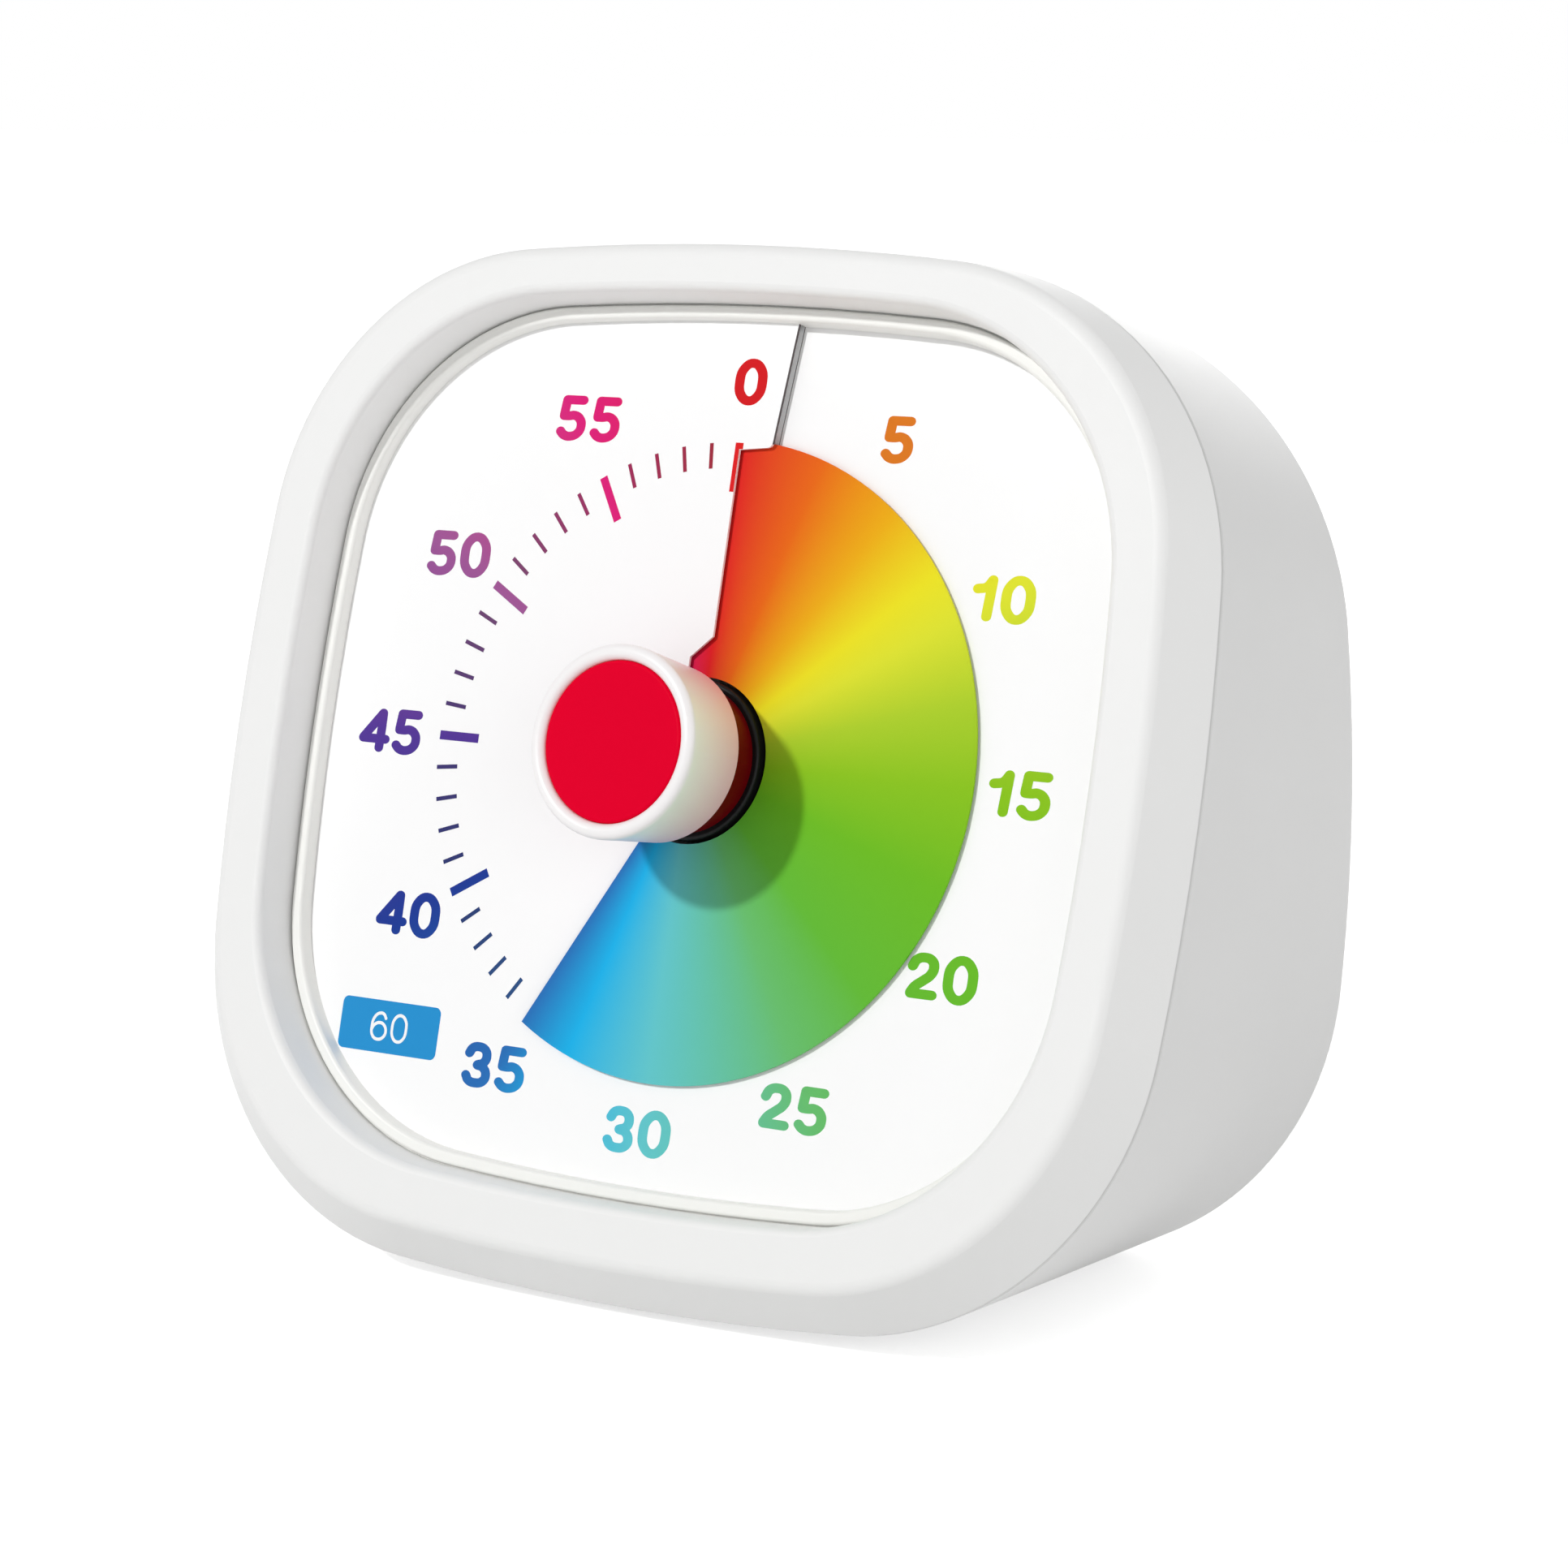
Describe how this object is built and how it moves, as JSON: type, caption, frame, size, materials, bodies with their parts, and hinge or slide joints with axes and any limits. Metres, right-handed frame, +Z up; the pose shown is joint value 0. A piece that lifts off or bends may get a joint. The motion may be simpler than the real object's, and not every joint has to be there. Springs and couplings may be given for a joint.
{
  "type": "visual countdown timer",
  "caption": "Desk countdown timer with a leaning square dial, a coloured film disc that shrinks into a slit in the card as time runs, and a central setting knob.",
  "frame": {"origin": "on the table, in the middle of the body's bounding box", "axes": "+Z up, the dial faces -Y and leans back 14.5 degrees, +X to the right seen from the front"},
  "size_m": [0.1014, 0.0488, 0.0916],
  "materials": {
    "shell_white": "fine satin moulding",
    "ring_white": "satin moulding",
    "card_white": "printed plastic sheet",
    "film_print": "printed film, all hues round the turn",
    "knob_white": "satin moulding",
    "cap_red": "smooth red",
    "stem_maroon": "dark red moulding",
    "hub_black": "black moulding",
    "frame_grey": "inner moulding",
    "steel": "bright",
    "brass": "turned",
    "case_black": "movement case",
    "wheel_plastic": "natural acetal",
    "lamination": "soft iron sheet",
    "copper": "enamelled wire",
    "board_green": "solder mask",
    "chip_black": "moulded",
    "cell_jacket": "plain sleeve",
    "buzzer_black": "moulded"
  },
  "bodies": {
    "housing": {"front_bezel": "shell_white", "rear_housing": "shell_white", "dial_ring": "ring_white", "dial_card": "card_white", "dial_frame": "frame_grey", "case_screws": "steel", "movement_cover": "case_black", "movement_case": "case_black", "movement_screws": "steel", "spindle_bush": "brass", "bush_nut": "brass", "stator": "lamination", "drive_coil": "copper", "circuit_board": "board_green", "driver_chip": "chip_black", "quartz_crystal": "steel", "alarm_contact": "brass", "battery_contact": "steel", "battery_spring": "steel", "piezo_buzzer": "buzzer_black", "switch_body": "buzzer_black"},
    "knob": {"spindle": "steel", "disc_hub": "hub_black", "knob_stem": "stem_maroon", "knob_sleeve": "knob_white", "knob_cap": "cap_red", "centre_wheel": "wheel_plastic", "clutch_spring": "steel", "clutch_collar": "brass", "alarm_cam": "wheel_plastic"},
    "film": {"colour_disc": "film_print"},
    "third_wheel": {"third_wheel": "wheel_plastic"},
    "fourth_wheel": {"fourth_wheel": "wheel_plastic"},
    "rotor": {"rotor": "wheel_plastic"},
    "battery": {"battery": "cell_jacket"},
    "battery_door": {"battery_door": "shell_white"},
    "sound_switch": {"sound_switch": "hub_black"}
  },
  "joints": [
    {"name": "knob_turn", "type": "hinge", "parent": "housing", "child": "knob", "pos_m": [0, -0.00783, 0.047], "axis": [0, -0.9681, 0.2504], "range_deg": [-150, 210]},
    {"name": "film_shift", "type": "slide", "parent": "knob", "child": "film", "axis": [0, -0.9681, 0.2504], "range_m": [-0.0006, 0.00045]},
    {"name": "third_wheel_turn", "type": "hinge", "parent": "housing", "child": "third_wheel", "pos_m": [-0.00796, -0.00584, 0.0547], "axis": [0, -0.9681, 0.2504], "range_deg": [-840, 600]},
    {"name": "fourth_wheel_turn", "type": "hinge", "parent": "housing", "child": "fourth_wheel", "pos_m": [-0.01103, -0.00796, 0.04651], "axis": [0, -0.9681, 0.2504], "range_deg": [-2400, 3360]},
    {"name": "rotor_turn", "type": "hinge", "parent": "housing", "child": "rotor", "pos_m": [-0.00917, -0.0097, 0.03978], "axis": [0, -0.9681, 0.2504], "range_deg": [-10080, 7200]},
    {"name": "battery_door_off", "type": "slide", "parent": "housing", "child": "battery_door", "axis": [0, 1, 0], "range_m": [0, 0.04]},
    {"name": "battery_out", "type": "slide", "parent": "housing", "child": "battery", "axis": [0, 1, 0], "range_m": [0, 0.02]},
    {"name": "sound_switch_slide", "type": "slide", "parent": "housing", "child": "sound_switch", "axis": [1, 0, 0], "range_m": [0, 0.003]}
  ],
  "couplings": [
    {"joint": "film_shift", "follows": "knob_turn", "m_per_rad": -0.00015915},
    {"joint": "third_wheel_turn", "follows": "knob_turn", "ratio": -4},
    {"joint": "fourth_wheel_turn", "follows": "knob_turn", "ratio": 16},
    {"joint": "rotor_turn", "follows": "knob_turn", "ratio": -48},
    {"joint": "battery_out", "follows": "battery_door_off", "ratio": 0.5}
  ]
}
